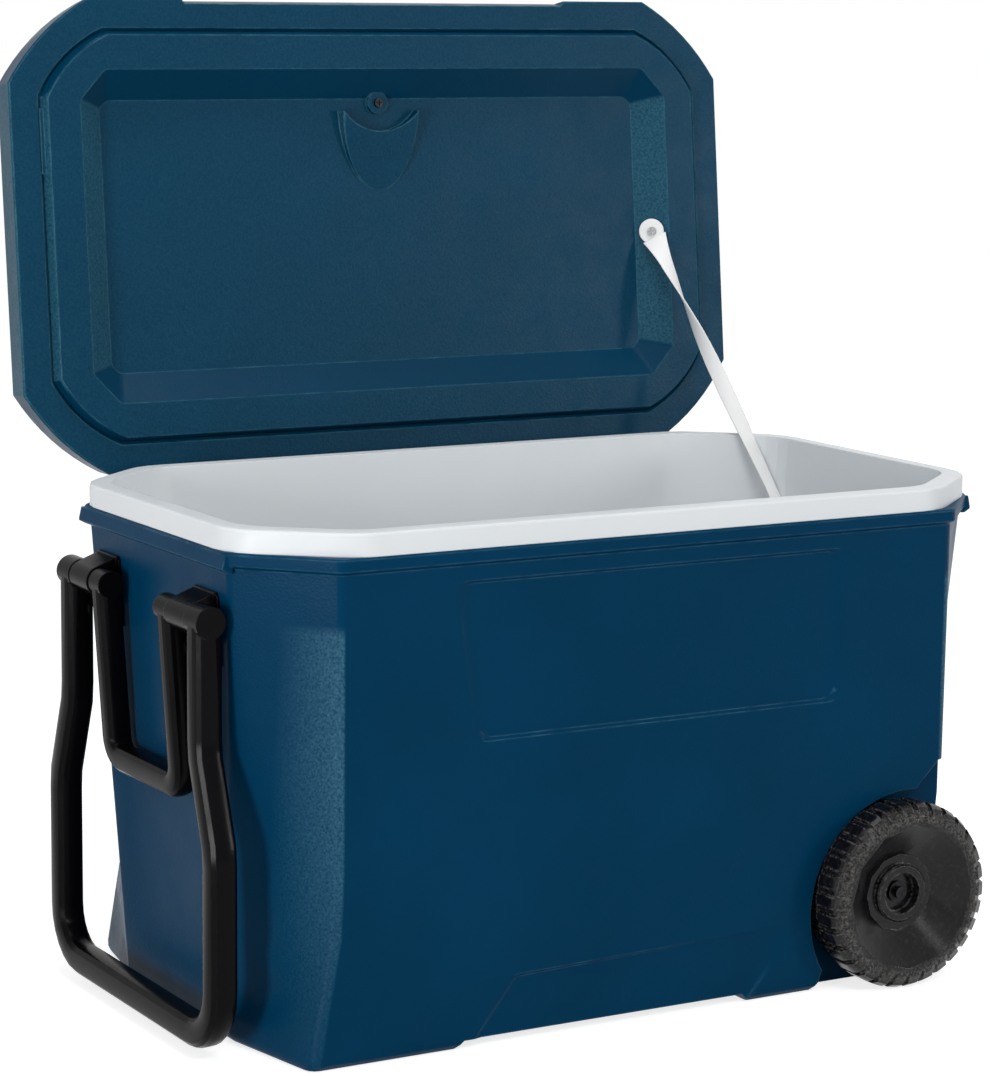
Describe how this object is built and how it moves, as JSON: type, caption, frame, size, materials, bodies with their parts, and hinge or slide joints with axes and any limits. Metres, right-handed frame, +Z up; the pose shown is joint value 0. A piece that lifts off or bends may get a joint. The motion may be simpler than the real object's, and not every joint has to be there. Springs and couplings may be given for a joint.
{
  "type": "wheeled cooler",
  "caption": "Insulated chest cooler with a hinged lid held open by a strap, corner wheels, a folding tow handle, a carry handle and a screw-cap drain.",
  "frame": {"origin": "on the ground under the middle of the chest, in the plane of its flat base", "axes": "+X along the chest towards the wheel end, +Y towards the hinges at the back, +Z up; the lid stands open at rest and both handles hang down"},
  "size_m": [0.7225, 0.5466, 0.8022],
  "materials": {
    "blue_plastic": "fine pebbled grain, satin",
    "white_plastic": "smooth, semi-gloss",
    "black_plastic": "smooth satin",
    "wheel_plastic": "satin dish, scuffed tread",
    "foam": "closed-cell foam",
    "steel": "zinc plated",
    "gasket": "matt rubber"
  },
  "bodies": {
    "chest": {"outer_shell": "blue_plastic", "inner_liner": "white_plastic", "lid_strap": "white_plastic", "drain_nut": "white_plastic", "body_hinge_leaves": "black_plastic", "handle_bracket_front": "black_plastic", "handle_bracket_back": "black_plastic", "axle_sleeve": "black_plastic", "drain_spout": "black_plastic", "body_foam": "foam", "hinge_pins": "steel", "body_hinge_screws": "steel", "strap_screw_body": "steel", "handle_pins": "steel", "bracket_screws": "steel", "axle": "steel", "wheel_washers": "steel", "axle_push_nuts": "steel", "drain_gasket": "gasket"},
    "lid": {"lid_shell": "blue_plastic", "lid_foam": "foam", "lid_inner_panel": "blue_plastic", "lid_boss_screw": "steel", "lid_hinge_leaves": "black_plastic", "lid_hinge_screws": "steel", "strap_screw_lid": "steel"},
    "tow_handle": {"tow_handle": "black_plastic"},
    "carry_handle": {"carry_handle": "black_plastic"},
    "wheel_front": {"wheel_front": "wheel_plastic"},
    "wheel_back": {"wheel_back": "wheel_plastic"},
    "drain_cap": {"drain_cap": "black_plastic"}
  },
  "joints": [
    {"name": "lid_hinge", "type": "hinge", "parent": "chest", "child": "lid", "pos_m": [0, 0.2135, 0.3915], "axis": [1, 0, 0], "range_deg": [0, 96], "deforming": ["lid_strap"]},
    {"name": "tow_handle_pivot", "type": "hinge", "parent": "chest", "child": "tow_handle", "pos_m": [-0.358, 0, 0.342], "axis": [0, 1, 0], "range_deg": [-3, 165]},
    {"name": "carry_handle_pivot", "type": "hinge", "parent": "chest", "child": "carry_handle", "pos_m": [-0.358, 0, 0.342], "axis": [0, 1, 0], "range_deg": [0, 169]},
    {"name": "wheel_front_spin", "type": "hinge", "parent": "chest", "child": "wheel_front", "pos_m": [0.232, -0.202, 0.079], "axis": [0, 1, 0], "continuous": true},
    {"name": "wheel_back_spin", "type": "hinge", "parent": "chest", "child": "wheel_back", "pos_m": [0.232, 0.202, 0.079], "axis": [0, 1, 0], "continuous": true},
    {"name": "drain_cap_turn", "type": "hinge", "parent": "chest", "child": "drain_cap", "pos_m": [-0.15, 0.19635, 0.07], "axis": [0, 1, -0.0051], "range_deg": [0, 360]}
  ]
}
